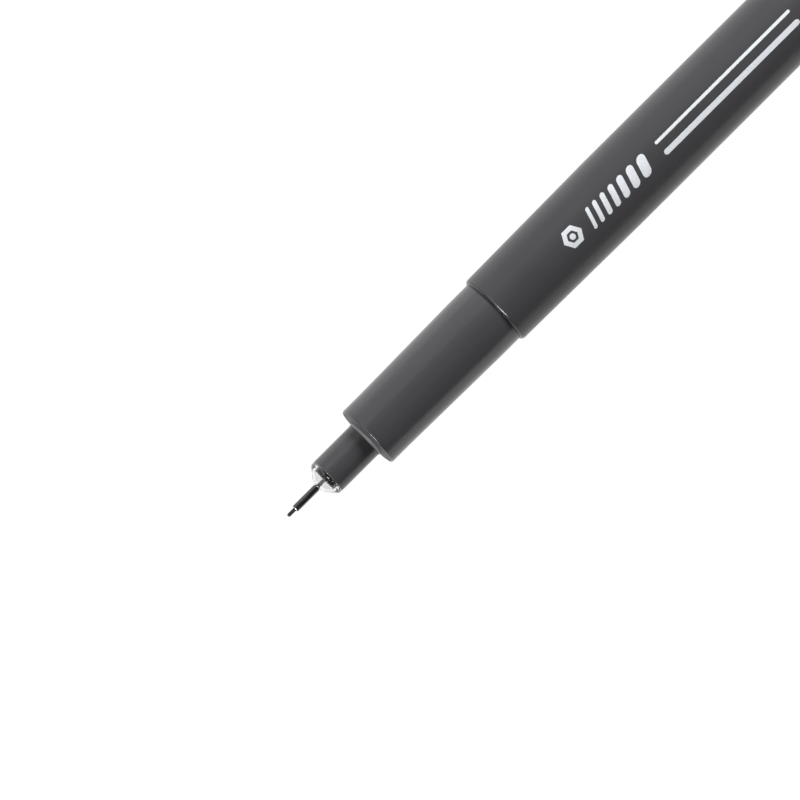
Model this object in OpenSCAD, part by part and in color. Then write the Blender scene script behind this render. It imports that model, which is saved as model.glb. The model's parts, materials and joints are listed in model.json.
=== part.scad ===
// Technical drawing pen, lying on its side with the cap posted on its tail.
// The axis runs along X with the nib towards -X. The origin is on the surface that the
// pen lies on, below the axis and half-way along the posted pen.
// Turned pieces are drawn as [station, radius] outlines. A station is the distance
// behind the nib's tip, and in the cap's pieces a depth is the distance from its mouth.

/* [Point] */
// Diameter of the capillary nib
nib_d = 0.45; // [0.3:0.05:0.45]
// Length of nib that stands out of its steel tube
nib_out = 1.15; // [0.8:0.05:1.5]
// Outer diameter of the steel tube
tube_d = 0.92; // [0.86:0.02:1]
// Visible length of the steel tube
tube_len = 3.73; // [3:0.01:5]
// Length of the clear cone, its rim included
cone_len = 1.75; // [1.5:0.05:2]

/* [Section] */
// Diameter of the nose, which the inner cap seals on
nose_d = 4.76; // [4.7:0.02:4.86]
// Length of the nose, from the clear cone to the shoulder
nose_len = 6.6; // [6.4:0.02:8]
// Diameter of the grip just behind the shoulder
grip_front_d = 8.34; // [8.1:0.02:8.4]
// Diameter of the grip where it meets the barrel
grip_rear_d = 8.78; // [8.6:0.02:8.8]
// Length of the grip that shows
grip_len = 21.12; // [18:0.02:26]

/* [Barrel] */
// Diameter of the barrel's front rim
rim_d = 9.57; // [9.3:0.01:9.7]
// Largest diameter of the barrel
barrel_d = 10; // [9.8:0.1:10.4]
// Length of the barrel, from its front rim to the shoulder that the posted cap meets
barrel_len = 87.2; // [70:0.1:95]
// Length of the tail that the posted cap covers
tail_len = 13.5; // [11:0.5:16]

/* [Cap] */
// Diameter of the cap at its mouth
cap_mouth_d = 10; // [9.9:0.1:10.4]
// Diameter of the cap at its crown
cap_crown_d = 10.3; // [10.2:0.1:10.8]
// Length of the cap
cap_len = 40.8; // [40.4:0.1:44]
// Width of the clip's strip
clip_w = 3; // [2.4:0.2:3.4]
// Thickness of the clip's strip
clip_t = 0.4; // [0.3:0.05:0.5]
// Angle of the clip from straight down, where it stops the pen from rolling
clip_turn = 54.5; // [53:0.5:60]

/* [Hidden] */
facets = 96;
arc_steps = 8;

// Stations of the faces that show
x_tube = nib_out;
x_cone = x_tube + tube_len;
x_nose = x_cone + cone_len;
x_grip = x_nose + nose_len;
x_barrel = x_grip + grip_len;
x_mouth = x_barrel + barrel_len;
x_tail = x_mouth + tail_len;
x_crown = x_mouth + cap_len;

// Clearances
press_gap = 0.02;
slip_gap = 0.06;

// Point
nib_r = nib_d / 2;
tube_r = tube_d / 2;
tube_bore_r = nib_r + press_gap;
tube_edge = 0.12;
neck_r = tube_bore_r + 0.06;
neck_len = 0.35;
nib_rear = x_nose + 4;
nib_in_wick = 1.4;

// Clear cone: a solid apex round the tube's neck, then a hollow shell and a rim
apex_r = 0.55;
apex_depth = 0.55;
cone_foot = [0.18, 0.95];
cone_wall = 0.33;
rim_len = 0.33;
rim_slope = 0.3;
holder_plug_len = 2.2;

// Nose and bush
nose_r = nose_d / 2;
nose_bore_r = nose_r - 0.4;
nose_edge = 0.06;
bush_r = nose_bore_r - 0.32;
bush_stub_r = 1.1;
bush_stub_in = 0.5;
bush_out = 0.43;
bush_len = 8;
bush_flange_len = 1.6;
wick_r = 1.2;

// Grip
shoulder_fillet = 0.6;
shoulder_edge = 0.18;
grip_front_r = grip_front_d / 2;
grip_rear_r = grip_rear_d / 2;
grip_straight = 3;
grip_bore_r = 3.47;
face_wall = 1.3;
guide_r = 1.9;
guide_len = 6.8;
spigot_r = 4.02;
spigot_len = 10.7;
spigot_chamfer = 0.3;

// Barrel
rim_r = rim_d / 2;
rim_edge = 0.5;
barrel_r = barrel_d / 2;
barrel_taper = 20;
seat_r = spigot_r + press_gap;
seat_len = spigot_len + 0.1;
bore_r = 3.95;
rib_r = 3.45;
rib_w = 0.6;
rib_count = 6;
rear_taper = 3;
rear_edge = 0.25;
tail_bore_r = 3.5;

// Ink
core_r = 3.28;
core_x = x_grip + face_wall + guide_len + 0.3;
core_end = x_mouth - 2;
film_r = core_r + press_gap;
film_t = 0.08;
film_over = 0.2;
socket_depth = 5;
breather_r = 0.5;
breather_bore_r = 0.3;
breather_at = core_r - breather_r;

// Tail plug
head_len = 2;
plug_bore_r = 2.5;
plug_edge = 0.5;

// Cap
cap_bore_r = grip_rear_r + slip_gap;
tail_outer_r = cap_bore_r - slip_gap;
mouth_r = cap_mouth_d / 2;
crown_r = cap_crown_d / 2;
mouth_edge = 0.2;
mouth_lead = 0.12;
crown_head = 1.4;
crown_edge = 0.45;
crown_edge_to = 20;
crown_rise = 0.45;
crown_spigot = 1.4;
cap_end = cap_len - crown_head;
seal_r = nose_r + 0.07;
seal_lead = 0.3;
seal_depth = 26;
seal_wall = 0.65;
flange_len = 1.2;
spider_ribs = 4;

// Clip: a tongue locked under the crown, a bend, and an arm that dips to touch the shell
clip_depth = cap_end - 0.9;
clip_gap = 0.2;
tongue_r = 3.4;
bend_r = 0.8;
arm_root_r = crown_r + 1.3;
dip_depth = 8;
dip_half = 2.3;
dip_h = 0.45;
dip_gap = 0.03;
dip_steps = 20;
clip_corner = 0.9;

// Points of an arc of radius r about [station, radius] c, from angle a to angle b
function arc(c, r, a, b) =
    [for (i = [0:arc_steps]) let (t = a + (b - a) * i / arc_steps) [c[0] + r * cos(t), c[1] + r * sin(t)]];

// Radius of the cap's shell at a depth
function shell_r(depth) = mouth_r + (crown_r - mouth_r) * depth / cap_end;

// Lays a piece that stands on its nib along the pen's axis
module lay() {
    translate([-x_crown / 2, 0, crown_r])
        rotate([0, 90, 0])
            children();
}

// Solid of revolution from a list of [station, radius] points
module turned(outline) {
    rotate_extrude($fn = facets)
        polygon([for (p = outline) [p[1], p[0]]]);
}

// Tube between two stations
module tube(from, to, outer, inner) {
    turned([[from, inner], [from, outer], [to, outer], [to, inner]]);
}

// Flat ribs round the axis, between two stations and two radii
module ribs(count, from, to, inner, outer, width) {
    for (i = [0:count - 1])
        rotate([0, 0, (i + 0.5) * 360 / count])
            translate([inner, -width / 2, from])
                cube([outer - inner, width, to - from]);
}

module nib() {
    color("#1b1a1c")
        lay()
            turned(concat(
                arc([nib_r, 0], nib_r, 180, 90),
                [[nib_rear, nib_r], [nib_rear, 0]]
            ));
}

module nib_tube() {
    color("silver")
        lay()
            turned(concat(
                [[x_tube, tube_bore_r]],
                arc([x_tube + tube_edge, tube_r - tube_edge], tube_edge, 180, 90),
                arc([x_cone - tube_edge, tube_r - tube_edge], tube_edge, 90, 0),
                [[x_cone, neck_r], [x_cone + neck_len, neck_r], [x_cone + neck_len, tube_bore_r]]
            ));
}

module nib_holder() {
    hole_r = neck_r + press_gap;
    plug_r = nose_bore_r - press_gap;
    hollow_r = bush_r + press_gap;
    foot = [x_cone + cone_foot[0], cone_foot[1]];
    shoulder = [x_nose - rim_len - rim_slope, nose_r - 0.24];
    slope = (shoulder[1] - foot[1]) / (shoulder[0] - foot[0]);
    wall_x = cone_wall * sqrt(1 + slope * slope) / slope;
    inner_foot = [x_cone + apex_depth, foot[1] + slope * (x_cone + apex_depth - foot[0] - wall_x)];
    inner_top = [foot[0] + wall_x + (hollow_r - foot[1]) / slope, hollow_r];
    color("#e6e6ea", 0.45)
        lay()
            turned([
                [x_cone, hole_r], [x_cone, apex_r], foot, shoulder, [x_nose - rim_len, nose_r],
                [x_nose, nose_r], [x_nose, plug_r], [x_nose + holder_plug_len, plug_r],
                [x_nose + holder_plug_len, hollow_r], inner_top, inner_foot, [inner_foot[0], hole_r]
            ]);
}

module nib_bush() {
    front = x_nose - bush_out;
    rear = front + bush_len;
    step = x_nose + bush_stub_in;
    socket = nib_rear - nib_in_wick - 0.1;
    flange_r = nose_bore_r - press_gap;
    color("#141414")
        lay()
            turned([
                [front, tube_bore_r], [front, bush_stub_r - 0.08], [front + 0.08, bush_stub_r],
                [step, bush_stub_r], [step, bush_r],
                [rear - bush_flange_len, bush_r], [rear - bush_flange_len, flange_r],
                [rear, flange_r], [rear, wick_r + press_gap], [socket, wick_r + press_gap],
                [socket, tube_bore_r]
            ]);
}

module relay_wick() {
    front = nib_rear - nib_in_wick;
    color("#26242a")
        lay()
            difference() {
                tube(front, core_x + socket_depth - press_gap, wick_r, 0);
                tube(front - 1, nib_rear + press_gap, nib_r + press_gap, 0);
            }
}

module grip_section() {
    bush_end = x_nose - bush_out + bush_len;
    cavity = x_grip + face_wall;
    guide_end = cavity + guide_len;
    guide_bore = wick_r + press_gap;
    spigot_end = x_barrel + spigot_len;
    color("#4b4a4e")
        lay() {
            turned(concat(
                [[x_nose, nose_bore_r]],
                arc([x_nose + nose_edge, nose_r - nose_edge], nose_edge, 180, 90),
                arc([x_grip - shoulder_fillet, nose_r + shoulder_fillet], shoulder_fillet, 270, 360),
                arc([x_grip + shoulder_edge, grip_front_r - shoulder_edge], shoulder_edge, 180, 90),
                [
                    [x_grip + grip_straight, grip_front_r], [x_barrel - grip_straight, grip_rear_r],
                    [x_barrel, grip_rear_r], [x_barrel, spigot_r],
                    [spigot_end - spigot_chamfer, spigot_r], [spigot_end, spigot_r - spigot_chamfer],
                    [spigot_end, grip_bore_r], [cavity, grip_bore_r], [cavity, guide_r],
                    [guide_end, guide_r], [guide_end, guide_bore], [bush_end, guide_bore],
                    [bush_end, nose_bore_r]
                ]
            ));
            ribs(4, cavity - 0.1, guide_end, guide_r - 0.1, grip_bore_r + 0.1, rib_w);
        }
}

module barrel() {
    plug_seat = x_tail - head_len;
    color("#464549")
        lay() {
            turned(concat(
                [[x_barrel, seat_r]],
                arc([x_barrel + rim_edge, rim_r - rim_edge], rim_edge, 180, 90),
                [[x_barrel + barrel_taper, barrel_r], [x_mouth - rear_taper, barrel_r]],
                arc([x_mouth - rear_edge, mouth_r - 0.05 - rear_edge], rear_edge, 90, 0),
                [
                    [x_mouth, tail_outer_r], [plug_seat, tail_outer_r], [plug_seat, tail_bore_r],
                    [x_mouth - 1, tail_bore_r], [x_mouth - 1, bore_r],
                    [x_barrel + seat_len, bore_r], [x_barrel + seat_len, seat_r]
                ]
            ));
            ribs(rib_count, x_barrel + seat_len + 0.5, core_end - 2, rib_r, bore_r + 0.3, rib_w);
        }
}

module reservoir_core() {
    color("#2c2a33")
        lay()
            difference() {
                tube(core_x, core_end, core_r, 0);
                tube(core_x - 1, core_x + socket_depth, wick_r + press_gap, 0);
                translate([breather_at + press_gap, 0, core_x - 1])
                    cylinder(h = core_end - core_x + 2, r = breather_r + press_gap, $fn = facets);
            }
}

module reservoir_film() {
    color("#d9dde2", 0.6)
        lay()
            tube(core_x - film_over, core_end, film_r + film_t, film_r);
}

module breather_tube() {
    color("white")
        lay()
            translate([breather_at, 0, 0])
                tube(core_x, core_end, breather_r, breather_bore_r);
}

module tail_plug() {
    front = core_end + 0.1;
    seat = x_tail - head_len;
    color("#464549")
        lay()
            turned(concat(
                [[front, plug_bore_r], [front, tail_bore_r - press_gap], [seat, tail_bore_r - press_gap],
                 [seat, tail_outer_r - 0.08]],
                arc([x_tail - plug_edge, tail_outer_r - 0.08 - plug_edge], plug_edge, 90, 0),
                [[x_tail, 1.2], [x_tail - 0.5, 0.9], [x_tail - 0.5, 0], [seat - 0.4, 0],
                 [seat - 0.4, plug_bore_r]]
            ));
}

module cap_shell() {
    slot_w = clip_w + 2 * clip_gap;
    slot_x = x_mouth + clip_depth - clip_t / 2 - clip_gap;
    color("#454448")
        lay()
            difference() {
                turned([for (p = concat(
                    [[0, cap_bore_r + mouth_lead]],
                    arc([mouth_edge, mouth_r - mouth_edge], mouth_edge, 180, 90),
                    [[cap_end, crown_r], [cap_end, cap_bore_r], [mouth_lead * 2, cap_bore_r]]
                )) [x_mouth + p[0], p[1]]]);
                rotate([0, 0, -clip_turn])
                    translate([tongue_r, -slot_w / 2, slot_x])
                        cube([crown_r, slot_w, crown_head + clip_t]);
            }
}

module inner_cap() {
    front = x_mouth + seal_depth;
    rear = x_mouth + cap_end - crown_spigot - 0.1;
    outer_r = seal_r + seal_wall;
    flange_r = cap_bore_r - press_gap;
    color("#cfcfd2")
        lay() {
            turned([
                [front, seal_r + seal_lead], [front, flange_r], [front + flange_len, flange_r],
                [front + flange_len, outer_r], [rear, outer_r], [rear, 0], [rear - seal_wall, 0],
                [rear - seal_wall, seal_r], [front + seal_lead, seal_r]
            ]);
            ribs(spider_ribs, front + flange_len - 0.1, rear - 1, outer_r - 0.1, flange_r, rib_w);
        }
}

module cap_crown() {
    head = x_mouth + cap_end;
    spigot_r = cap_bore_r - press_gap;
    tongue_from = x_mouth + clip_depth - clip_t / 2 - clip_gap;
    tongue_to = x_mouth + clip_depth + clip_t / 2 + clip_gap;
    edge = [x_crown - crown_rise - crown_edge * cos(crown_edge_to), crown_r - crown_edge];
    dome_r = edge[1] + crown_edge * sin(crown_edge_to);
    color("#454448")
        lay()
            difference() {
                union() {
                    turned(concat(
                        [[head - crown_spigot, 0], [head - crown_spigot, spigot_r], [head, spigot_r],
                         [head, crown_r]],
                        arc(edge, crown_edge, 90, crown_edge_to),
                        [for (i = [1:arc_steps])
                            let (r = dome_r * (1 - i / arc_steps))
                            [x_crown - crown_rise * pow(r / dome_r, 2), r]]
                    ));
                    rotate([0, 0, -clip_turn])
                        translate([spigot_r - 0.5, -clip_w / 2, tongue_to])
                            cube([crown_r - spigot_r + 0.2, clip_w, head - tongue_to + 0.1]);
                }
                rotate([0, 0, -clip_turn])
                    translate([tongue_r - 0.4, -clip_w / 2 - clip_gap, tongue_from - 1])
                        cube([crown_r, clip_w + 2 * clip_gap, tongue_to - tongue_from + 1]);
            }
}

// Middle line of the clip as [depth, radius] points
contact_r = shell_r(dip_depth) + dip_gap + clip_t / 2;
arm_foot_r = contact_r + dip_h;
arm_slope = (arm_root_r - arm_foot_r) / (clip_depth - bend_r - dip_depth);
function arm_r(depth) =
    let (u = (depth - dip_depth) / dip_half)
    arm_foot_r + arm_slope * (depth - dip_depth) - (abs(u) < 1 ? dip_h * (1 + cos(180 * u)) / 2 : 0);
clip_line = concat(
    [[clip_depth, tongue_r]],
    arc([clip_depth - bend_r, arm_root_r - bend_r], bend_r, 0, 90),
    [for (i = [0:dip_steps])
        let (depth = dip_depth + dip_half * (1 - 2 * i / dip_steps))
        [depth, arm_r(depth)]]
);

// Unit normal of the clip's middle line at point i
function line_normal(i) =
    let (a = clip_line[max(i - 1, 0)], b = clip_line[min(i + 1, len(clip_line) - 1)], d = b - a)
    [-d[1], d[0]] / norm(d);
function line_side(offset) = [for (i = [0:len(clip_line) - 1]) clip_line[i] + offset * line_normal(i)];

// Strip's outline from above, with its free end's corners rounded
module clip_plan() {
    end = x_mouth + dip_depth - dip_half;
    side = clip_w / 2 - clip_corner;
    for (y = [-side, side])
        translate([y, end + clip_corner])
            circle(r = clip_corner, $fn = facets);
    translate([-side, end])
        square([2 * side, 2 * clip_corner]);
    translate([-clip_w / 2, end + clip_corner])
        square([clip_w, cap_len]);
}

module clip() {
    near = line_side(clip_t / 2);
    far = line_side(-clip_t / 2);
    last = len(far) - 1;
    loop = concat(near, [for (i = [0:last]) far[last - i]]);
    color("#c9cacd")
        lay()
            rotate([0, 0, -clip_turn])
                intersection() {
                    rotate([90, 0, 0])
                        linear_extrude(height = clip_w, center = true)
                            polygon([for (p = loop) [p[1], x_mouth + p[0]]]);
                    rotate([90, 0, 90])
                        linear_extrude(height = cap_crown_d)
                            clip_plan();
                }
}

nib();
nib_tube();
nib_holder();
nib_bush();
relay_wick();
grip_section();
barrel();
reservoir_core();
reservoir_film();
breather_tube();
tail_plug();
cap_shell();
inner_cap();
cap_crown();
clip();
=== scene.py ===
"""Looks of a technical drawing pen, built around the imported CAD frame.

Everything is in metres, in the CAD's own frame: the pen lies along X with its nib towards -X.
Turned pieces are drawn in millimetres as (station, radius, rounding) corners, where a station
is the distance behind the nib's tip. An angle round the axis starts at the top and goes
towards -Y. Stations and radii come from the frame's boxes and mounts where those give them.
"""

import json
import math

import bmesh
import bpy
from mathutils import Matrix, Vector


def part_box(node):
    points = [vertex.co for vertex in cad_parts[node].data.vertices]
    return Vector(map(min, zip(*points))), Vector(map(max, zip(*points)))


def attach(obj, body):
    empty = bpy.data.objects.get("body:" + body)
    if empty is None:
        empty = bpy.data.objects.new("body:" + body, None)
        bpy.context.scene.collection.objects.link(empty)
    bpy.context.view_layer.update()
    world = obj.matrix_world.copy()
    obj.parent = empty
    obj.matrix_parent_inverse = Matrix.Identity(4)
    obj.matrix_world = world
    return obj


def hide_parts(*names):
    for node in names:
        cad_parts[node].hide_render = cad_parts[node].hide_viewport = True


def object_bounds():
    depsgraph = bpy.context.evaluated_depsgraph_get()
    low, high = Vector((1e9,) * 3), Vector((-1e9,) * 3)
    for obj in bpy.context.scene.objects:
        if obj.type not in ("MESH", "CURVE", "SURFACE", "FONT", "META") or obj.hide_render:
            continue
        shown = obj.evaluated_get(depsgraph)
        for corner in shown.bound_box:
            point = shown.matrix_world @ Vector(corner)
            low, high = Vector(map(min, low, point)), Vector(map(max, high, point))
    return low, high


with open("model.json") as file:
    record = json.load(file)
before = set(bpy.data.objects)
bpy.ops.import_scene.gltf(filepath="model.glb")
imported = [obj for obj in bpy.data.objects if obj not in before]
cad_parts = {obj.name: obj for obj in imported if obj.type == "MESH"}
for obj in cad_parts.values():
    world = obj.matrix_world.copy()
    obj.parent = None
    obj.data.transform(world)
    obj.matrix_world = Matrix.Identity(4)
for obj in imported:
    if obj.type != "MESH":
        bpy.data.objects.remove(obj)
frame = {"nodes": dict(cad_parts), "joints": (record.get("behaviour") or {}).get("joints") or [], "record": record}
cad_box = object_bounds()

MM = 0.001
SEGMENTS = 192
NIB_SEGMENTS = 96
ROUND_STEPS = 6
SHARP_ANGLE = math.radians(38)

# The attribute holds how far an edge is rubbed, from 0 to 1, or one of two marks that paint light and shade
# Mark for a rougher face whose colour is scaled by the material's face factor: painted light on the grip's
# shoulder, painted shade on the bush's front
MATT_FACE_PAINTED_LIGHT_AND_SHADE = -1.0
# Mark for a pale ring on the fillet at the nose's foot: a painted highlight
PAINTED_HIGHLIGHT_RING = -2.0

# ------------------------------------------------------------------ sizes, in millimetres

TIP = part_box("nib")[0].x
AXIS_Z = (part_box("barrel")[0].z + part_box("barrel")[1].z) / 2


def front(node):
    """Station of a CAD node's front end."""
    return (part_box(node)[0].x - TIP) / MM


def rear(node):
    """Station of a CAD node's rear end."""
    return (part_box(node)[1].x - TIP) / MM


def radius(node):
    """Largest radius of a CAD node that is turned about the axis."""
    return (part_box(node)[1].z - AXIS_Z) / MM


def mount(name):
    """A mount's front station, rear station and radius."""
    found = next(m for m in frame["record"]["mounts"] if m["name"] == name)
    middle = (found["pos_m"][0] - TIP) / MM
    half = found["dims"]["length_mm"] / 2
    return middle - half, middle + half, found["dims"]["r_mm"]


# Room round a press fit and a sliding fit, and how far the clear cone reaches into what it wets
GAP = 0.02
SLIP = 0.06
WETTED = 0.01

# Stations of the faces that show
X_TUBE = front("nib_tube")
X_CONE = front("nib_holder")
X_NOSE = front("grip_section")
X_BARREL = front("barrel")
X_MOUTH = front("cap_shell")
X_TAIL = rear("tail_plug")
X_CROWN = rear("cap_crown")
CAP_END = rear("cap_shell")

# Point
NIB_R = radius("nib")
NIB_BORE = NIB_R + GAP
TUBE_R = mount("point_tube")[2]
TUBE_EDGE = 0.12
NECK_R = NIB_BORE + 0.06
CONE_APEX_R = 0.55
CONE_FOOT = (X_CONE + 0.18, 0.95)
CONE_SHOULDER_BACK = 0.63
CONE_SHOULDER_IN = 0.24
CONE_RIM = 0.33
CONE_WALL = 0.33
CONE_APEX_DEPTH = 0.55

# Nose and grip
NOSE_R = mount("nose")[2]
NOSE_BORE = NOSE_R - 0.4
BUSH_R = NOSE_BORE - 0.32
BUSH_STUB_R = 1.1
BUSH_STUB_IN = 0.5
BUSH_FACE = 0.12
BUSH_FLANGE = 1.6
WICK_R = 1.2
FILLET = 0.6
X_GRIP = mount("nose")[1] + FILLET
GRIP_FRONT_R = 4.17
GRIP_REAR_R = 4.39
GRIP_STRAIGHT = 3
GRIP_BEND_R = 60
SHOULDER_EDGE = 0.18
GRIP_BORE = 3.47
GRIP_CAVITY = X_GRIP + 1.3
GUIDE_END = GRIP_CAVITY + 6.8
GUIDE_R = 1.9
GRIP_WEBS = 4
SPIGOT_R = 4.02
SPIGOT_END = rear("grip_section")

# Barrel and tail
RIM_R = 4.785
RIM_EDGE = 0.5
BARREL_R = mount("barrel_grip")[2]
BARREL_TAPER = 20
BARREL_BEND_R = 120
BARREL_BORE = 3.95
REAR_TAPER = 3
REAR_BEND_R = 8
REAR_EDGE = 0.25
PLUG_STEP = 0.08
PLUG_BORE = 2.5
TAIL_R = radius("tail_plug") + PLUG_STEP
TAIL_BORE = 3.5
PLUG_SEAT = rear("barrel")
BARREL_RIBS = 6
RIB_TOP = 3.45
RIB_W = 0.6

# Cap
CAP_BORE = TAIL_R + SLIP
MOUTH_R = 5.0
MOUTH_LEAD_IN = 0.12
CROWN_R = radius("cap_crown")
DOME_R = 4.2
DOME_RISE = 0.45
SEAL_R = NOSE_R + 0.07
SEAL_WALL = 0.65
SEAL_LEAD_IN = 0.3
LINER_FLANGE = 1.2
LINER_RIBS = 4

# Clip: a strip that leaves the crown square to its hinge's axis, locked there by its tongue
CLIP_HINGE = next(j for j in frame["joints"] if j["name"] == "clip_flex")
CLIP_ACROSS = Vector(CLIP_HINGE["axis"]).normalized()
CLIP_OUT = CLIP_ACROSS.cross(Vector((-1, 0, 0)))
CLIP_W = 3.0
CLIP_T = 0.4
CLIP_DEPTH = CAP_END - 0.9
CLIP_TONGUE_R = 3.4
CLIP_ROOM = 0.2
TONGUE_FRONT = CLIP_DEPTH - CLIP_T / 2 - CLIP_ROOM
TONGUE_REAR = CLIP_DEPTH + CLIP_T / 2 + CLIP_ROOM
SLOT_TOP_R = 6

# Its line: the bend's radius, how far its top stands off the crown, how far from the cap's mouth
# its dip lies, and how close the dip comes to the cap
CLIP_BEND = 0.8
CLIP_STAND_OFF = 1.3
CLIP_REACH = 8
CLIP_TOUCH = 0.03
DIP_HALF = 2.3
DIP_DEPTH = 0.45
BEND_STEPS = 12
ARM_STEPS = 12
DIP_STEPS = 32

# Its rounded long edges, and the rounded corners of its free end
CLIP_EDGE = 0.09
CLIP_CORNER = 0.9

# ------------------------------------------------------------------ node trees


class Nodes:
    """The node tree of a world or a material, with short ways to add and link."""

    def __init__(self, owner):
        owner.use_nodes = True
        self.tree = owner.node_tree

    def add(self, kind, **settings):
        node = self.tree.nodes.new(kind)
        for name, value in settings.items():
            setattr(node, name, value)
        return node

    def link(self, source, target):
        self.tree.links.new(source, target)

    def ranged(self, value, low, high, to_low, to_high, **settings):
        """Value carried from one range to another, and held at its ends."""
        node = self.add("ShaderNodeMapRange", **settings)
        self.link(value, node.inputs["Value"])
        node.inputs["From Min"].default_value = low
        node.inputs["From Max"].default_value = high
        node.inputs["To Min"].default_value = to_low
        node.inputs["To Max"].default_value = to_high
        return node.outputs["Result"]

    def times(self, a, b):
        node = self.add("ShaderNodeMath", operation="MULTIPLY")
        self.link(a, node.inputs[0])
        self.link(b, node.inputs[1])
        return node.outputs[0]


# ------------------------------------------------------------------ camera, light and floor

# The camera looks down on the pen, leans a little towards the tip and is rolled, so that the
# pen runs from the lower left to the upper right
LEAN = math.radians(6.0)
ROLL = math.radians(44.9)
VIEW_WIDTH = 94.35 * MM
CAMERA_DISTANCE = 2.5
# Where the centre of the barrel's front rim lies in the view, from its middle
RIM_RIGHT = 10.99 * MM
RIM_UP = 10.43 * MM

# Light that the tent gives where it is dim and where it is bright, and what the camera sees
TENT_DIM = 0.06
TENT_BRIGHT = 0.63
TENT_SEEN = 1.1
TENT_DIM_SPOT = Vector((0.24, 0.02, 0.96)).normalized()

LIGHT_DISTANCE = 0.6
FLOOR_HALF = 3
FLOOR_GREY = 0.12
FLOOR_GLOW = 0.98


def make_camera():
    """Long lens, so that the view is nearly free of perspective."""
    back = Vector((-math.sin(LEAN), 0, math.cos(LEAN)))
    along = Vector((math.cos(LEAN), 0, math.sin(LEAN)))
    across = back.cross(along)
    right = along * math.cos(ROLL) - across * math.sin(ROLL)
    up = along * math.sin(ROLL) + across * math.cos(ROLL)
    rim = Vector((TIP + X_BARREL * MM, 0, AXIS_Z))
    spot = rim - right * RIM_RIGHT - up * RIM_UP + back * CAMERA_DISTANCE
    data = bpy.data.cameras.new("camera")
    data.lens = data.sensor_width * CAMERA_DISTANCE / VIEW_WIDTH
    data.clip_start = 0.01
    data.clip_end = 20
    camera = bpy.data.objects.new("camera", data)
    camera.matrix_world = Matrix.Translation(spot) @ Matrix((right, up, back)).transposed().to_4x4()
    bpy.context.scene.collection.objects.link(camera)
    bpy.context.scene.camera = camera


def make_tent():
    """White tent all round, dim overhead where the camera is and on the -Y side."""
    world = bpy.data.worlds.new("light_tent")
    bpy.context.scene.world = world
    nodes = Nodes(world)
    nodes.tree.nodes.clear()
    direction = nodes.add("ShaderNodeTexCoord").outputs["Generated"]
    split = nodes.add("ShaderNodeSeparateXYZ")
    nodes.link(direction, split.inputs[0])
    nearness = nodes.add("ShaderNodeVectorMath", operation="DOT_PRODUCT")
    nodes.link(direction, nearness.inputs[0])
    nearness.inputs[1].default_value = TENT_DIM_SPOT

    def smooth(value, *ranges):
        return nodes.ranged(value, *ranges, interpolation_type="SMOOTHSTEP")

    # Each is 1 where the tent is bright. The last dims the end that the nib points to
    side = smooth(split.outputs["Y"], -0.75, 0.35, 0.0, 1.0)
    overhead = smooth(nearness.outputs["Value"], 0.78, 0.95, 1.0, 0.0)
    ahead = smooth(split.outputs["X"], -0.95, -0.3, 0.45, 1.0)
    open_part = nodes.times(nodes.times(side, overhead), ahead)
    lit = nodes.add("ShaderNodeBackground")
    lit.inputs["Color"].default_value = (1.0, 0.995, 1.0, 1)
    nodes.link(smooth(open_part, 0.0, 1.0, TENT_DIM, TENT_BRIGHT), lit.inputs["Strength"])
    seen = nodes.add("ShaderNodeBackground")
    seen.inputs["Color"].default_value = (1, 1, 1, 1)
    seen.inputs["Strength"].default_value = TENT_SEEN
    mix = nodes.add("ShaderNodeMixShader")
    nodes.link(nodes.add("ShaderNodeLightPath").outputs["Is Camera Ray"], mix.inputs["Fac"])
    nodes.link(lit.outputs[0], mix.inputs[1])
    nodes.link(seen.outputs[0], mix.inputs[2])
    nodes.link(mix.outputs[0], nodes.add("ShaderNodeOutputWorld").inputs["Surface"])


def area_light(name, towards, size, power, only_highlights=False):
    """Soft light at a direction from the grip's front, turned to face it."""
    target = Vector((TIP + X_GRIP * MM, 0, AXIS_Z))
    data = bpy.data.lights.new(name, "AREA")
    data.shape = "RECTANGLE"
    data.size, data.size_y = size
    data.energy = power
    light = bpy.data.objects.new(name, data)
    direction = Vector(towards).normalized()
    light.location = target + direction * LIGHT_DISTANCE
    light.rotation_euler = direction.to_track_quat("Z", "Y").to_euler()
    light.visible_diffuse = not only_highlights
    bpy.context.scene.collection.objects.link(light)


def make_floor():
    """Pale floor that glows, so that the pen lies on white with hardly a shadow."""
    bm = bmesh.new()
    bmesh.ops.create_grid(bm, x_segments=8, y_segments=8, size=FLOOR_HALF)
    mesh = bpy.data.meshes.new("floor")
    bm.to_mesh(mesh)
    bm.free()
    floor = bpy.data.objects.new("floor", mesh)
    floor.location.z = cad_box[0].z
    bpy.context.scene.collection.objects.link(floor)
    material = bpy.data.materials.new("pale_floor")
    material.use_nodes = True
    shader = material.node_tree.nodes["Principled BSDF"]
    shader.inputs["Base Color"].default_value = (FLOOR_GREY, FLOOR_GREY, FLOOR_GREY, 1)
    shader.inputs["Roughness"].default_value = 0.9
    shader.inputs["Specular IOR Level"].default_value = 0.1
    shader.inputs["Emission Color"].default_value = (1, 1, 1, 1)
    shader.inputs["Emission Strength"].default_value = FLOOR_GLOW
    mesh.materials.append(material)


# ------------------------------------------------------------------ materials

NOISE_ROUGHNESS = 0.55
# How far the handled patches of a moulding are smoother or rougher than the rest
HANDLING = 0.018


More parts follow.
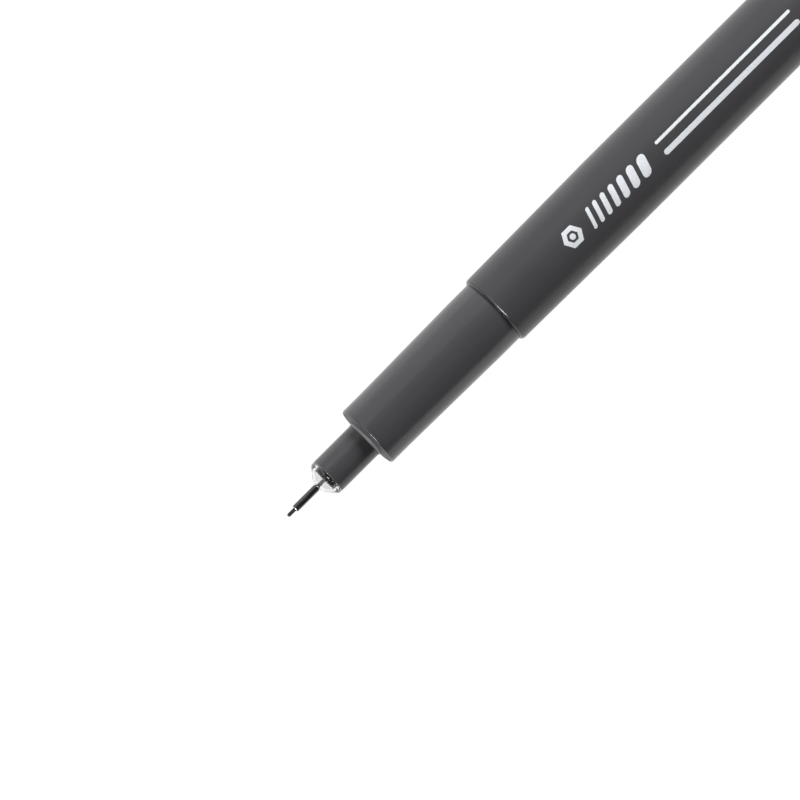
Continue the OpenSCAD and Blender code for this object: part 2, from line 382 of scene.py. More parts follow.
class Looks(Nodes):
    """A Principled material whose textures are laid out in millimetres of the CAD's frame."""

    def __init__(self, name, colour, roughness, **sockets):
        self.material = bpy.data.materials.new(name)
        super().__init__(self.material)
        self.shader = self.tree.nodes["Principled BSDF"]
        self.shader.inputs["Base Color"].default_value = (*colour, 1)
        self.shader.inputs["Roughness"].default_value = roughness
        for socket, value in sockets.items():
            self.shader.inputs[socket.replace("_", " ")].default_value = value
        self.colour = None
        self.place = self.add("ShaderNodeTexCoord").outputs["Object"]

    def noise(self, per_mm, stretch=(1, 1, 1), detail=3):
        """Noise from 0 to 1 with per_mm lumps to the millimetre, times stretch along each axis."""
        mapping = self.add("ShaderNodeMapping")
        mapping.inputs["Scale"].default_value = [per_mm / MM * s for s in stretch]
        self.link(self.place, mapping.inputs["Vector"])
        noise = self.add("ShaderNodeTexNoise")
        noise.inputs["Scale"].default_value = 1
        noise.inputs["Detail"].default_value = detail
        noise.inputs["Roughness"].default_value = NOISE_ROUGHNESS
        self.link(mapping.outputs[0], noise.inputs["Vector"])
        return noise.outputs["Fac"]

    def paint(self, amount, colour):
        """Mixes a colour over what the base colour is so far, by amount."""
        mix = self.add("ShaderNodeMix", data_type="RGBA")
        base = self.shader.inputs["Base Color"]
        if self.colour is None:
            mix.inputs[6].default_value = base.default_value
        else:
            self.link(self.colour, mix.inputs[6])
        mix.inputs[7].default_value = (*colour, 1)
        self.link(amount, mix.inputs[0])
        self.colour = mix.outputs[2]
        self.link(self.colour, base)

    def finish_from(self, value):
        """Takes the roughness from a value that varies over the surface."""
        self.link(value, self.shader.inputs["Roughness"])

    def bump(self, height, depth_mm):
        """Raises the surface by up to depth_mm where height is 1."""
        node = self.add("ShaderNodeBump")
        node.inputs["Distance"].default_value = depth_mm * MM
        self.link(height, node.inputs["Height"])
        self.link(node.outputs[0], self.shader.inputs["Normal"])

    def worn_edges(self, colour, amount):
        """Paler where the turned pieces' rounded edges rub, broken up by noise, and as it was on
        marked faces. Gives the value of the attribute that holds the wear and the marks of painted light."""
        edge = self.add("ShaderNodeAttribute", attribute_name="wear").outputs["Fac"]
        rubbed = self.ranged(edge, 0, 1, 0, 1)
        broken = self.ranged(self.noise(1.6, detail=4), 0.35, 0.65, 0.3 * amount, amount)
        self.paint(self.times(rubbed, broken), colour)
        return edge


def shade(colour, factor):
    return tuple(c * factor for c in colour)


def moulded_plastic(name, colour, roughness, grain_mm, specular=0.5, face=1.45):
    """Satin moulding: cloudy tone, flow lines along the piece, spark-eroded grain, and patches
    that hands have smoothed. A marked matt face has the colour times face, which is painted light
    above 1 and painted shade below, and the marked ring is pale, a painted highlight."""
    looks = Looks(name, colour, roughness, IOR=1.5, Specular_IOR_Level=specular)
    clouds = looks.noise(0.16, detail=4)
    looks.paint(looks.ranged(clouds, 0.3, 0.7, 0.0, 1.0), shade(colour, 1.08))
    flow = looks.noise(1.3, stretch=(0.05, 1, 1), detail=2)
    looks.paint(looks.ranged(flow, 0.4, 0.75, 0.0, 0.5), shade(colour, 0.93))
    edge = looks.worn_edges(shade(colour, 1.9), 0.45)
    # A marked matt face gets the colour times face: painted light where face is above 1, painted shade where it is
    # below
    looks.paint(looks.ranged(edge, MATT_FACE_PAINTED_LIGHT_AND_SHADE, 0, 1, 0), shade(colour, face))
    # The marked ring at the nose's foot is painted pale: a painted highlight
    looks.paint(looks.ranged(edge, PAINTED_HIGHLIGHT_RING, PAINTED_HIGHLIGHT_RING + 0.8, 1, 0), shade(colour, 5.2))
    handled = looks.noise(0.35, stretch=(0.5, 1, 1), detail=3)
    finish = looks.ranged(handled, 0.25, 0.75, roughness - HANDLING, roughness + HANDLING)
    finish = looks.times(finish, looks.ranged(edge, 0, 1, 1, 0.7))
    looks.finish_from(looks.times(finish, looks.ranged(edge, MATT_FACE_PAINTED_LIGHT_AND_SHADE, 0, 2.6, 1)))
    looks.bump(looks.noise(1 / grain_mm, detail=2), grain_mm * 0.007)
    return looks.material


def steel_tube():
    """Drawn and ground steel: fine rings round the tube over a hazy polish."""
    colour = (0.17, 0.165, 0.16)
    looks = Looks("drawn_steel", colour, 0.2, Metallic=1.0)
    rings = looks.noise(6, stretch=(1, 0.04, 0.04), detail=3)
    looks.paint(looks.ranged(rings, 0.4, 0.65, 0.0, 0.6), shade(colour, 0.7))
    looks.worn_edges((0.85, 0.85, 0.85), 1.0)
    looks.finish_from(looks.ranged(looks.noise(2, detail=4), 0.3, 0.7, 0.14, 0.26))
    looks.bump(rings, 0.004)
    return looks.material


def brushed_steel():
    """Rolled strip, brushed lengthways."""
    colour = (0.6, 0.6, 0.61)
    looks = Looks("brushed_strip", colour, 0.28, Metallic=1.0)
    lines = looks.noise(9, stretch=(0.03, 1, 1), detail=4)
    looks.paint(looks.ranged(lines, 0.35, 0.7, 0.0, 0.7), shade(colour, 0.72))
    looks.finish_from(looks.ranged(lines, 0.3, 0.7, 0.28, 0.4))
    looks.bump(lines, 0.003)
    return looks.material


def clear_plastic():
    """Clear moulding with a little haze and faint swirls."""
    looks = Looks("clear_styrene", (0.89, 0.89, 0.9), 0.06, IOR=1.2, Transmission_Weight=1.0)
    looks.shader.inputs["Coat Weight"].default_value = 1.0
    looks.shader.inputs["Coat Roughness"].default_value = 0.08
    looks.paint(looks.ranged(looks.noise(0.9, detail=3), 0.4, 0.7, 0.0, 0.5), (0.84, 0.84, 0.855))
    looks.finish_from(looks.ranged(looks.noise(0.7, detail=1), 0.3, 0.7, 0.04, 0.07))
    looks.bump(looks.noise(0.8, detail=1), 0.003)
    return looks.material


def clear_film():
    """Thin wrap, slightly milky, with lengthways wrinkles."""
    looks = Looks("clear_wrap", (0.85, 0.87, 0.9), 0.16, IOR=1.46, Alpha=0.4)
    wrinkles = looks.noise(0.8, stretch=(0.12, 1, 1), detail=4)
    looks.paint(looks.ranged(wrinkles, 0.5, 0.75, 0.0, 0.6), (0.98, 0.98, 1.0))
    looks.finish_from(looks.ranged(wrinkles, 0.3, 0.7, 0.1, 0.3))
    looks.bump(wrinkles, 0.05)
    return looks.material


def soaked_fibre(name, colour, per_mm, roughness):
    """Bundled fibres along the piece, dark with ink, with drier strands showing paler."""
    looks = Looks(name, colour, roughness, IOR=1.4)
    strands = looks.noise(per_mm, stretch=(0.04, 1, 1), detail=4)
    looks.paint(looks.ranged(strands, 0.45, 0.75, 0.0, 0.8), shade(colour, 2.6))
    looks.paint(looks.ranged(looks.noise(0.3, detail=4), 0.45, 0.7, 0.0, 0.6), shade(colour, 0.5))
    looks.finish_from(looks.ranged(strands, 0.3, 0.7, roughness - 0.15, roughness))
    looks.bump(strands, 0.25 / per_mm)
    return looks.material


def milky_plastic(name, colour, roughness):
    """Soft, slightly see-through liner plastic."""
    looks = Looks(name, colour, roughness, IOR=1.5)
    looks.shader.inputs["Subsurface Weight"].default_value = 0.25
    looks.shader.inputs["Subsurface Scale"].default_value = 0.4 * MM
    looks.paint(looks.ranged(looks.noise(0.4, detail=4), 0.35, 0.7, 0.0, 0.7), shade(colour, 0.9))
    cloudy = looks.noise(1.2, detail=3)
    looks.finish_from(looks.ranged(cloudy, 0.3, 0.7, roughness - 0.08, roughness + 0.08))
    looks.bump(looks.noise(4, detail=2), 0.008)
    return looks.material


def pad_ink():
    """Pad-printed ink: a flat film with pinholes and a thin, uneven body."""
    colour = (0.86, 0.89, 0.93)
    looks = Looks("printed_ink", colour, 0.45, IOR=1.5)
    looks.paint(looks.ranged(looks.noise(3.5, detail=4), 0.5, 0.78, 0.0, 0.55), shade(colour, 0.7))
    looks.finish_from(looks.ranged(looks.noise(2, detail=3), 0.3, 0.7, 0.38, 0.55))
    looks.bump(looks.noise(7, detail=2), 0.004)
    return looks.material


def make_materials():
    """Every material, by the slot that it fills, and the ink of the printed marks."""
    grey = (0.073, 0.072, 0.077)
    return {
        "nib_black": soaked_fibre("nib_fibre", (0.012, 0.012, 0.014), 14, 0.6),
        "steel_tube": steel_tube(),
        "clear_plastic": clear_plastic(),
        # The marked faces of this moulding get its colour times 0.05, near black: painted shade
        "black_plastic": moulded_plastic("black_moulding", (0.04, 0.04, 0.042), 0.3, 0.05, face=0.05),
        "wick_fibre": soaked_fibre("wick_bundle", (0.03, 0.03, 0.036), 7, 0.75),
        # The grip's marked shoulder face gets its colour times 1.45, the default face: painted light, on a face
        # that is also rougher
        "grip_grey": moulded_plastic("grip_moulding", grey, 0.25, 0.09),
        "barrel_grey": moulded_plastic("barrel_moulding", shade(grey, 0.89), 0.3, 0.08, specular=0.34),
        "reservoir_fibre": soaked_fibre("reservoir_bundle", (0.035, 0.034, 0.045), 4, 0.85),
        "clear_film": clear_film(),
        "breather_white": milky_plastic("breather_tubing", (0.8, 0.8, 0.79), 0.4),
        "cap_grey": moulded_plastic("cap_moulding", shade(grey, 0.91), 0.3, 0.08, specular=0.34),
        "liner_white": milky_plastic("liner_moulding", (0.76, 0.76, 0.75), 0.45),
        "clip_steel": brushed_steel(),
        "printed_ink": pad_ink(),
    }


# ------------------------------------------------------------------ mesh making


def place(station, distance, angle):
    """Point at a station, a distance from the axis and an angle round it, in metres."""
    return Vector((
        TIP + station * MM,
        -distance * math.sin(angle) * MM,
        AXIS_Z + distance * math.cos(angle) * MM,
    ))


def rounded(corners):
    """Closed outline through (station, radius, rounding) corners, clockwise from the front
    inner one. Gives (station, radius, wear) points, with wear up to 1 on small outer edges."""
    outline = []
    for i, (x, r, size) in enumerate(corners):
        here = Vector((x, r))
        if size == 0:
            outline.append((x, r, 0.0))
            continue
        came = (Vector(corners[i - 1][:2]) - here).normalized()
        goes = (Vector(corners[(i + 1) % len(corners)][:2]) - here).normalized()
        half = came.angle(goes) / 2
        centre = here + (came + goes).normalized() * size / math.sin(half)
        begin = here + came * size / math.tan(half) - centre
        end = here + goes * size / math.tan(half) - centre
        turn = math.atan2(begin.x * end.y - begin.y * end.x, begin.dot(end))
        rubbed = 1.0 if turn < 0 and size < 1 else 0.0
        for k in range(ROUND_STEPS + 1):
            a = turn * k / ROUND_STEPS
            spoke = Vector((
                begin.x * math.cos(a) - begin.y * math.sin(a),
                begin.x * math.sin(a) + begin.y * math.cos(a),
            ))
            wear = rubbed * math.sin(math.pi * k / ROUND_STEPS)
            outline.append((centre.x + spoke.x, centre.y + spoke.y, wear))
    return outline


def turned(outline, shape=None, segments=SEGMENTS):
    """Mesh of a closed outline turned about the axis. shape(station, radius, angle) may give
    another radius, for ribs. Points on the axis become one vertex."""
    bm = bmesh.new()
    wear = bm.verts.layers.float.new("wear")
    rings = []
    for x, r, edge in outline:
        ring = []
        for k in range(segments if r > 0 else 1):
            angle = 2 * math.pi * k / segments
            vertex = bm.verts.new(place(x, shape(x, r, angle) if shape else r, angle))
            vertex[wear] = edge
            ring.append(vertex)
        rings.append(ring)
    for a, b in zip(rings, rings[1:] + rings[:1]):
        if len(a) == 1 and len(b) == 1:
            continue
        for k in range(segments):
            ends = [a[k % len(a)], a[(k + 1) % len(a)], b[(k + 1) % len(b)], b[k % len(b)]]
            bm.faces.new(list(dict.fromkeys(ends)))
    bmesh.ops.recalc_face_normals(bm, faces=bm.faces)
    return bm


def skin(bm, rows, closed):
    """Faces between neighbouring rows of vertices, which are rings if closed."""
    for a, b in zip(rows, rows[1:]):
        for k in range(len(a) if closed else len(a) - 1):
            j = (k + 1) % len(a)
            bm.faces.new((a[k], a[j], b[j], b[k]))


def to_object(bm, name):
    """Object made of a bmesh, which it frees."""
    mesh = bpy.data.meshes.new(name)
    bm.to_mesh(mesh)
    bm.free()
    piece = bpy.data.objects.new(name, mesh)
    bpy.context.scene.collection.objects.link(piece)
    return piece


def block(near, far, low, high, half_width, out, across):
    """Box between two stations and two distances out from the axis, for joining or cutting."""
    bm = bmesh.new()
    corners = [
        Vector((TIP + x * MM, 0, AXIS_Z)) + out * (r * MM) + across * (w * MM)
        for x in (near, far)
        for r in (low, high)
        for w in (-half_width, half_width)
    ]
    vertices = [bm.verts.new(c) for c in corners]
    for face in ((0, 1, 3, 2), (4, 6, 7, 5), (0, 4, 5, 1), (2, 3, 7, 6), (0, 2, 6, 4), (1, 5, 7, 3)):
        bm.faces.new([vertices[i] for i in face])
    bmesh.ops.recalc_face_normals(bm, faces=bm.faces)
    return to_object(bm, "tool")


def combine(piece, tool, operation):
    """Joins a tool to a piece or cuts it out, and removes the tool."""
    modifier = piece.modifiers.new("combine", "BOOLEAN")
    modifier.operation = operation
    modifier.solver = "EXACT"
    modifier.object = tool
    graph = bpy.context.evaluated_depsgraph_get()
    mesh = bpy.data.meshes.new_from_object(piece.evaluated_get(graph), depsgraph=graph)
    piece.modifiers.remove(modifier)
    piece.data = mesh
    bpy.data.objects.remove(tool)


def fit_out(piece, body, slot, *nodes, look=None):
    """Material, which is the slot's own unless look names another, shading, and what the piece
    rides on and stands for."""
    piece.data.materials.clear()
    piece.data.materials.append(materials[look or slot])
    piece.data.shade_smooth()
    piece.data.set_sharp_from_angle(angle=SHARP_ANGLE)
    shading = piece.modifiers.new("even_shading", "WEIGHTED_NORMAL")
    shading.mode = "FACE_AREA"
    shading.weight = 100
    shading.keep_sharp = True
    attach(piece, body)
    if nodes:
        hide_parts(*nodes)


def ribbed(count, base, top, run):
    """Shape for turned(): ribs that stand on the radius base and reach the radius top, between
    the two stations of run."""
    def shape(x, r, angle):
        if r != base or not run[0] < x < run[1]:
            return r
        nearest = round(angle / (2 * math.pi) * count - 0.5) + 0.5
        off = abs(angle - nearest * 2 * math.pi / count) * top
        return top if off < RIB_W / 2 else r
    return shape


# ------------------------------------------------------------------ the pen


def make_nib():
    """Fibre rod with a worn, rounded point."""
    end = rear("nib")
    outline = rounded([(0, 0, 0), (0, NIB_R, NIB_R * 0.96), (end, NIB_R, 0.02), (end, 0, 0)])
    piece = to_object(turned(outline, segments=NIB_SEGMENTS), "nib_rod")
    fit_out(piece, "pen", "nib_black", "nib")


def make_tube():
    """Steel tube, with the thinner neck that the cone holds."""
    end = rear("nib_tube")
    outline = rounded([
        (X_TUBE, NIB_BORE, 0.01), (X_TUBE, TUBE_R, TUBE_EDGE), (X_CONE, TUBE_R, TUBE_EDGE),
        (X_CONE, NECK_R, 0.02), (end, NECK_R, 0.02), (end, NIB_BORE, 0.01),
    ])
    fit_out(to_object(turned(outline), "steel_sleeve"), "pen", "steel_tube", "nib_tube")


def make_cone():
    """Clear cone: a solid apex round the tube's neck, a hollow shell, a rim, and a plug in the
    nose. It reaches a hair into its dark neighbours, so that they show through as if wetted."""
    hole = NECK_R + GAP
    plug = NOSE_BORE + WETTED
    hollow = BUSH_R - WETTED
    seat = X_NOSE + 2 * WETTED
    end = rear("nib_holder")
    shoulder = (X_NOSE - CONE_SHOULDER_BACK, NOSE_R - CONE_SHOULDER_IN)
    slope = (shoulder[1] - CONE_FOOT[1]) / (shoulder[0] - CONE_FOOT[0])
    wall = CONE_WALL * math.hypot(1, slope) / slope
    inner_x = X_CONE + CONE_APEX_DEPTH
    inner_r = CONE_FOOT[1] + slope * (inner_x - CONE_FOOT[0] - wall)
    hollow_x = CONE_FOOT[0] + wall + (hollow - CONE_FOOT[1]) / slope
    outline = rounded([
        (X_CONE, hole, 0.015), (X_CONE, CONE_APEX_R, 0.06), (*CONE_FOOT, 0.15), (*shoulder, 0.1),
        (X_NOSE - CONE_RIM, NOSE_R, 0.2), (seat, NOSE_R, 0.05), (seat, plug, 0.01),
        (end, plug, 0.1), (end, hollow, 0.05), (hollow_x, hollow, 0.1),
        (inner_x, inner_r, 0.06), (inner_x, hole, 0.02),
    ])
    fit_out(to_object(turned(outline), "clear_cone"), "pen", "clear_plastic", "nib_holder")


def make_bush():
    """Stepped bush: a stub with its face in painted shade, a body and a flange, bored for nib and wick."""
    begin, end = front("nib_bush"), rear("nib_bush")
    flange = NOSE_BORE - GAP
    step = X_NOSE + BUSH_STUB_IN
    socket = front("relay_wick") - 0.1
    outline = rounded([
        (begin, NIB_BORE, 0.02), (begin, BUSH_STUB_R, 0.08), (begin + BUSH_FACE, BUSH_STUB_R, 0),
        (step, BUSH_STUB_R, 0.02), (step, BUSH_R, 0.05), (end - BUSH_FLANGE, BUSH_R, 0.05),
        (end - BUSH_FLANGE, flange, 0.08), (end, flange, 0.08), (end, WICK_R + GAP, 0.1),
        (socket, WICK_R + GAP, 0.05), (socket, NIB_BORE, 0.05),
    ])
    # The stub's front face and the start of its side are painted near black: painted shade for the dark gap that
    # shows through the cone
    painted_shade_to = begin + BUSH_FACE - 0.02
    shade_painted = [(x, r, MATT_FACE_PAINTED_LIGHT_AND_SHADE if x < painted_shade_to else wear) for x, r, wear in outline]
    fit_out(to_object(turned(shade_painted), "bush_moulding"), "pen", "black_plastic", "nib_bush")


def shoulder_light_marks(x, r, wear):
    """Wear of the grip's outline, with the marks for the shoulder's matt face, whose colour is
    painted lighter as painted light, and for the pale ring at its foot, a painted highlight."""
    into = (x - X_GRIP + FILLET) / FILLET
    if r < NOSE_R or not 0.1 < into < 1.001:
        return wear
    # A painted highlight on the fillet's first two thirds, painted light on the rest of it and on the face
    return PAINTED_HIGHLIGHT_RING if into < 0.66 else MATT_FACE_PAINTED_LIGHT_AND_SHADE


def make_grip():
    """Nose and grip in one moulding, with a guide tube for the wick on four webs, and a spigot."""
    bush_end = rear("nib_bush")
    bore = WICK_R + GAP
    outline = rounded([
        (X_NOSE, NOSE_BORE, 0.03), (X_NOSE, NOSE_R, 0.06), (X_GRIP, NOSE_R, FILLET),
        (X_GRIP, GRIP_FRONT_R, SHOULDER_EDGE),
        (X_GRIP + GRIP_STRAIGHT, GRIP_FRONT_R, GRIP_BEND_R),
        (X_BARREL - GRIP_STRAIGHT, GRIP_REAR_R, GRIP_BEND_R),
        (X_BARREL, GRIP_REAR_R, 0.04), (X_BARREL, SPIGOT_R, 0.04), (SPIGOT_END, SPIGOT_R, 0.3),
        (SPIGOT_END, GRIP_BORE, 0.08), (GRIP_CAVITY, GRIP_BORE, 0.2), (GRIP_CAVITY, GUIDE_R, 0.2),
        (GUIDE_END, GUIDE_R, 0.08), (GUIDE_END, bore, 0.08), (bush_end, bore, 0.05),
        (bush_end, NOSE_BORE, 0.05),
    ])
    marked = [(x, r, shoulder_light_marks(x, r, wear)) for x, r, wear in outline]
    piece = to_object(turned(marked), "grip_body")
    # The webs reach into the walls that they join
    web_ends = (GRIP_CAVITY - 0.3, GUIDE_END - 0.2)
    web_reach = (GUIDE_R - 0.2, GRIP_BORE + 0.2)
    for i in range(GRIP_WEBS):
        angle = 2 * math.pi * (i + 0.5) / GRIP_WEBS
        out = Vector((0, -math.sin(angle), math.cos(angle)))
        across = Vector((0, math.cos(angle), math.sin(angle)))
        combine(piece, block(*web_ends, *web_reach, RIB_W / 2, out, across), "UNION")
    fit_out(piece, "pen", "grip_grey", "grip_section")


def barrel_radius(station):
    """Outer radius of the barrel's front part."""
    return RIM_R + (BARREL_R - RIM_R) * min(1, (station - X_BARREL) / BARREL_TAPER)


def make_barrel():
    """Barrel with a raised front rim, six ribs inside and a thinner tail that takes the cap."""
    seat_end = SPIGOT_END + 0.1
    ribs = (seat_end + 0.4, X_MOUTH - 4)
    outline = rounded([
        (X_BARREL, SPIGOT_R + GAP, 0.04), (X_BARREL, RIM_R, RIM_EDGE),
        (X_BARREL + BARREL_TAPER, BARREL_R, BARREL_BEND_R),
        (X_MOUTH - REAR_TAPER, BARREL_R, REAR_BEND_R),
        (X_MOUTH, MOUTH_R - 0.05, REAR_EDGE), (X_MOUTH, TAIL_R, 0.06), (PLUG_SEAT, TAIL_R, 0.05),
        (PLUG_SEAT, TAIL_BORE, 0.05), (X_MOUTH - 1, TAIL_BORE, 0.05), (X_MOUTH - 1.1, BARREL_BORE, 0.1),
        (ribs[1] + 0.3, BARREL_BORE, 0), (ribs[1] - 0.1, BARREL_BORE, 0),
        (ribs[0] + 0.1, BARREL_BORE, 0), (ribs[0] - 0.3, BARREL_BORE, 0),
        (seat_end, BARREL_BORE, 0), (seat_end, SPIGOT_R + GAP, 0.04),
    ])
    bm = turned(outline, ribbed(BARREL_RIBS, BARREL_BORE, RIB_TOP, ribs))
    fit_out(to_object(bm, "barrel_body"), "pen", "barrel_grey", "barrel")


def make_tail():
    """Tail plug, domed at its edge, with a shallow gate mark in the middle."""
    begin = front("tail_plug")
    head = TAIL_R - PLUG_STEP
    gate = X_TAIL - 0.5
    floor = PLUG_SEAT - 0.4
    outline = rounded([
        (begin, PLUG_BORE, 0.1), (begin, TAIL_BORE - GAP, 0.15), (PLUG_SEAT, TAIL_BORE - GAP, 0.04),
        (PLUG_SEAT, head, 0.06), (X_TAIL, head, 0.5), (X_TAIL, 1.2, 0.1), (gate, 0.9, 0.08),
        (gate, 0, 0), (floor, 0, 0), (floor, PLUG_BORE, 0.2),
    ])
    fit_out(to_object(turned(outline), "tail_plug_body"), "pen", "barrel_grey", "tail_plug")


# ------------------------------------------------------------------ the cap and clip


def clip_block(near, far, low, high, room):
    """Block as wide as the clip, and room wider on each side, where the clip leaves the cap."""
    return block(near, far, low, high, CLIP_W / 2 + room, CLIP_OUT, CLIP_ACROSS)


def make_cap():
    """Slightly tapered shell with a lead-in at its mouth and a slot for the clip at its end."""
    outline = rounded([
        (X_MOUTH, CAP_BORE + MOUTH_LEAD_IN, 0.04), (X_MOUTH, MOUTH_R, 0.2), (CAP_END, CROWN_R, 0.06),
        (CAP_END, CAP_BORE, 0.05), (X_MOUTH + 2 * MOUTH_LEAD_IN, CAP_BORE, 0.1),
    ])
    piece = to_object(turned(outline), "cap_body")
    slot = clip_block(TONGUE_FRONT, CAP_END + 1, CLIP_TONGUE_R, SLOT_TOP_R, CLIP_ROOM)
    combine(piece, slot, "DIFFERENCE")
    fit_out(piece, "cap", "cap_grey", "cap_shell")


def make_crown():
    """Crown plug with a domed end, a gate mark, and the key and notch that lock the clip."""
    begin = front("cap_crown")
    spigot = CAP_BORE - GAP
    gate = X_CROWN - 0.1
    rings = (DOME_R, 3.5, 2.8, 2.1, 1.4, 0.9)
    dome = [(X_CROWN - DOME_RISE * (r / DOME_R) ** 2, r, 0) for r in rings]
    outline = rounded([
        (begin, 0, 0), (begin, spigot, 0.1), (CAP_END, spigot, 0.03),
        (CAP_END, CROWN_R, 0.06), (X_CROWN - DOME_RISE - 0.02, CROWN_R, 0.5), *dome,
        (gate, 0.75, 0.03), (gate, 0, 0),
    ])
    piece = to_object(turned(outline), "crown_body")
    combine(piece, clip_block(TONGUE_REAR, CAP_END + 0.1, spigot - 0.5, CROWN_R - 0.3, 0), "UNION")
    notch = clip_block(TONGUE_FRONT - 1, TONGUE_REAR, CLIP_TONGUE_R - 0.4, SLOT_TOP_R, CLIP_ROOM)
    combine(piece, notch, "DIFFERENCE")
    fit_out(piece, "cap", "cap_grey", "cap_crown")


def make_liner():
    """Inner cap: a flange in the cap's bore and a cup for the nose, with four ribs along it."""
    begin, end = front("inner_cap"), rear("inner_cap")
    outer = SEAL_R + SEAL_WALL
    flange = CAP_BORE - GAP
    flange_end = begin + LINER_FLANGE
    ribs_end = end - 1.2
    outline = rounded([
        (begin, SEAL_R + SEAL_LEAD_IN, 0.1), (begin, flange, 0.1), (flange_end, flange, 0),
        (flange_end + 0.06, outer, 0), (ribs_end - 0.2, outer, 0), (ribs_end + 0.2, outer, 0),
        (end, outer, 0.25), (end, 0, 0), (end - SEAL_WALL, 0, 0), (end - SEAL_WALL, SEAL_R, 0.3),
        (begin + SEAL_LEAD_IN, SEAL_R, 0.1),
    ])
    bm = turned(outline, ribbed(LINER_RIBS, outer, flange, (flange_end, ribs_end)))
    fit_out(to_object(bm, "inner_cap_body"), "cap", "liner_white", "inner_cap")


def clip_line():
    """Middle line of the clip as (station, radius) points, from its locked tongue to its free end:
    a quarter bend, a straight arm, and a dip that touches the cap."""
    bend_x = CLIP_DEPTH - CLIP_BEND
    top = CROWN_R + CLIP_STAND_OFF
    shell = MOUTH_R + (CROWN_R - MOUTH_R) * CLIP_REACH / (CAP_END - X_MOUTH)
    dip_at = X_MOUTH + CLIP_REACH
    foot = shell + CLIP_TOUCH + CLIP_T / 2 + DIP_DEPTH
    slope = (top - foot) / (bend_x - dip_at)
    line = [(CLIP_DEPTH, CLIP_TONGUE_R)]
    for k in range(BEND_STEPS + 1):
        a = math.pi / 2 * k / BEND_STEPS
        line.append((bend_x + CLIP_BEND * math.cos(a), top - CLIP_BEND + CLIP_BEND * math.sin(a)))
    for k in range(1, ARM_STEPS):
        x = bend_x + (dip_at + DIP_HALF - bend_x) * k / ARM_STEPS
        line.append((x, foot + slope * (x - dip_at)))
    for k in range(DIP_STEPS + 1):
        u = 1 - 2 * k / DIP_STEPS
        x = dip_at + DIP_HALF * u
        line.append((x, foot + slope * (x - dip_at) - DIP_DEPTH * (1 + math.cos(math.pi * u)) / 2))
    return [Vector(point) for point in line]


def close_to_end(line):
    """The line with its last stretch replaced by points that crowd towards the free end, where the
    strip is rounded."""
    left = [0.0]
    for a, b in zip(reversed(line), reversed(line[:-1])):
        left.append(left[-1] + (b - a).length)
    left.reverse()
    back = (line[-2] - line[-1]).normalized()
    crowded = [line[-1] + back * s for s in (0.6, 0.42, 0.27, 0.15, 0.06, 0.02)]
    return [p for p, s in zip(line, left) if s > 0.7] + crowded + [line[-1]]


def strip_section(half):
    """Section of the strip as (across, through) points, with rounded edges."""
    section = []
    for sx, sy in ((1, 1), (-1, 1), (-1, -1), (1, -1)):
        for k in range(4):
            turn = math.atan2(sy, sx) - math.pi / 4 + math.pi / 2 * k / 3
            w = sx * (half - CLIP_EDGE) + CLIP_EDGE * math.cos(turn)
            t = sy * (CLIP_T / 2 - CLIP_EDGE) + CLIP_EDGE * math.sin(turn)
            section.append((w, t))
    return section


def make_clip():
    """Sprung strip: its section swept along the clip's line, with a rounded free end."""
    points = close_to_end(clip_line())
    bm = bmesh.new()
    rings = []
    for i, p in enumerate(points):
        run = (points[min(i + 1, len(points) - 1)] - points[max(i - 1, 0)]).normalized()
        normal = Vector((run.y, -run.x))
        left = (points[-1] - p).length
        half = CLIP_W / 2
        if left < CLIP_CORNER:
            half -= CLIP_CORNER - math.sqrt(CLIP_CORNER ** 2 - (CLIP_CORNER - left) ** 2)
        ring = []
        for w, t in strip_section(half):
            x, r = p + normal * t
            axis_point = Vector((TIP + x * MM, 0, AXIS_Z))
            ring.append(bm.verts.new(axis_point + CLIP_OUT * (r * MM) + CLIP_ACROSS * (w * MM)))
        rings.append(ring)
    skin(bm, rings, closed=True)
    bm.faces.new(rings[0])
    bm.faces.new(list(reversed(rings[-1])))
    bmesh.ops.recalc_face_normals(bm, faces=bm.faces)
    fit_out(to_object(bm, "clip_strip"), "clip", "clip_steel", "clip")


# ------------------------------------------------------------------ printed marks


# The angle of the print's centre line, and the film's place on the barrel
PRINT_TURN = math.radians(4.2)
INK_TOP = 0.012
INK_DEPTH = 0.02

# Distances behind the rim, and sizes
EMBLEM_X = 12.4
EMBLEM_R = 1.42
EMBLEM_HOLE_R = 0.76
EMBLEM_DOT = 0.76
SCALE_X = 15.3
SCALE_WIDTHS = (0.5, 0.6, 0.7, 0.8, 0.95, 1.1, 1.3)
SCALE_GAP = 0.62
SCALE_HALF_HEIGHT = 1.35
SCALE_SLANT = -0.3
RULE_GAP = 1.5
RULE_LENGTH = 22.5
# Each rule's place across the print, and its width
RULES = ((-0.9, 0.4), (0.75, 0.7))


def inked(name, patches):
    """Ink film on the barrel. Each patch is rows of (distance behind the rim, across) points, and
    whether its rows are rings."""
    bm = bmesh.new()
    for rows, closed in patches:
        grid = []
        for row in rows:
            line = []
            for x, v in row:
                r = barrel_radius(X_BARREL + x) + INK_TOP
                line.append(bm.verts.new(place(X_BARREL + x, r, PRINT_TURN + v / r)))
            grid.append(line)
        skin(bm, grid, closed)
    for face in bm.faces:
        face.normal_update()
        middle = face.calc_center_median()
        if face.normal.dot(Vector((0, middle.y, middle.z - AXIS_Z))) < 0:
            face.normal_flip()
    bmesh.ops.solidify(bm, geom=bm.faces[:], thickness=INK_DEPTH * MM)
    bmesh.ops.recalc_face_normals(bm, faces=bm.faces)
    fit_out(to_object(bm, name), "pen", "barrel_grey", look="printed_ink")


def round_ended(half, into):
    """Half width of a bar at a distance into its rounded end, never quite nothing."""
    short = half - min(into, half)
    return math.sqrt(max(half ** 2 - short ** 2, 1e-6))


def slanted_bar(x, width, half_height, slant):
    """Bar across the pen that leans along it, with rounded ends."""
    rows = []
    for k in range(33):
        v = -half_height + 2 * half_height * k / 32
        half = round_ended(width / 2, half_height - abs(v))
        rows.append([(x + slant * v - half, v), (x + slant * v, v), (x + slant * v + half, v)])
    return rows, False


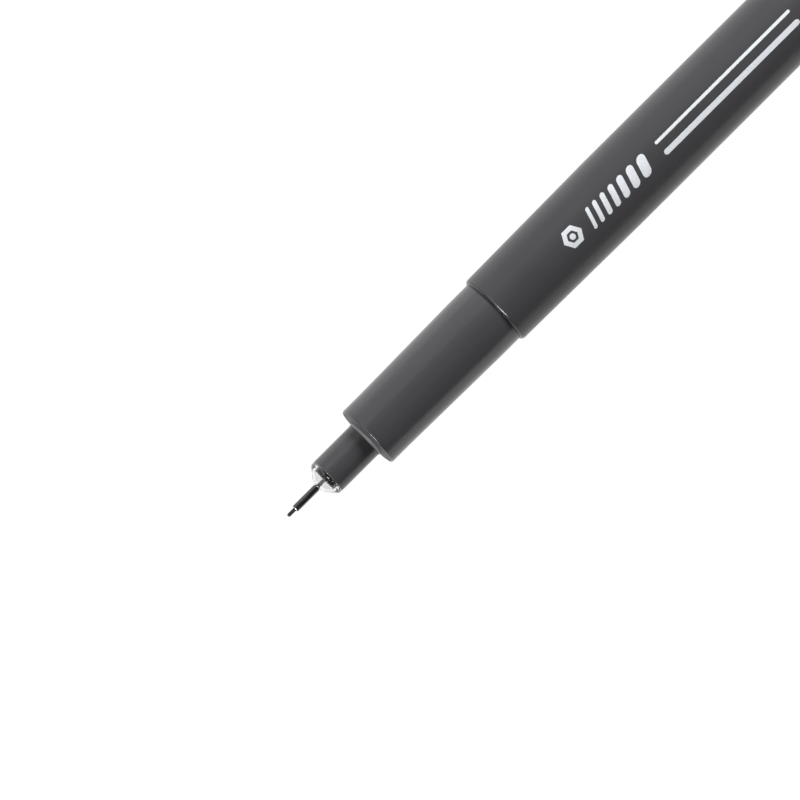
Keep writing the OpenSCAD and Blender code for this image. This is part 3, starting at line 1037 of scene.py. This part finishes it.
def long_bar(begin, length, v, width):
    """Thin bar along the pen, with rounded ends."""
    rows = []
    half = width / 2
    caps = [half * (1 - math.cos(math.pi / 2 * k / 8)) for k in range(8)]
    middle = [half + (length - width) * k / 24 for k in range(25)]
    for step in caps + middle + [length - c for c in reversed(caps)]:
        reach = round_ended(half, min(step, length - step))
        rows.append([(begin + step, v - reach), (begin + step, v), (begin + step, v + reach)])
    return rows, False


def hexagon_ring(x, inner, outer):
    """Hexagonal ring round a point on the print's centre line."""
    rows = []
    for level in (outer, (inner + outer) / 2, inner):
        row = []
        for k in range(48):
            a = 2 * math.pi * k / 48
            sector = (a % (math.pi / 3)) - math.pi / 6
            r = level * math.cos(math.pi / 6) / math.cos(sector)
            row.append((x + r * math.cos(a), r * math.sin(a)))
        rows.append(row)
    return rows, True


def make_print():
    """Emblem and line-width scale, in plain geometry."""
    dot = slanted_bar(EMBLEM_X, EMBLEM_DOT, EMBLEM_DOT / 2, 0)
    inked("print_emblem", [hexagon_ring(EMBLEM_X, EMBLEM_HOLE_R, EMBLEM_R), dot])
    bars = []
    x = SCALE_X
    for width in SCALE_WIDTHS:
        bars.append(slanted_bar(x + width / 2, width, SCALE_HALF_HEIGHT, SCALE_SLANT))
        x += width + SCALE_GAP
    inked("print_width_scale", bars)
    inked("print_rule", [long_bar(x + RULE_GAP, RULE_LENGTH, *rule) for rule in RULES])


# ------------------------------------------------------------------ the scene

bpy.context.scene.view_settings.view_transform = "Standard"
make_camera()
make_tent()
area_light("edge_glint", (-0.66, -0.26, 0.7), (0.36, 0.14), power=6.5, only_highlights=True)
area_light("front_strip", (-0.5, 0.3, 0.8), (0.6, 0.2), power=1.0, only_highlights=True)
area_light("rear", (0.74, 0.3, 0.6), (0.2, 0.2), power=3.3)
make_floor()

materials = make_materials()
make_nib()
make_tube()
make_cone()
make_bush()
make_grip()
make_barrel()
make_tail()
make_cap()
make_crown()
make_liner()
make_clip()
make_print()

# The sealed inner pieces keep their CAD shapes
for slot_row in frame["record"]["subparts"]:
    cad_node = frame["nodes"][slot_row["node"]]
    if not cad_node.hide_render:
        cad_node.data.materials.clear()
        cad_node.data.materials.append(materials[slot_row["material_slot"]])
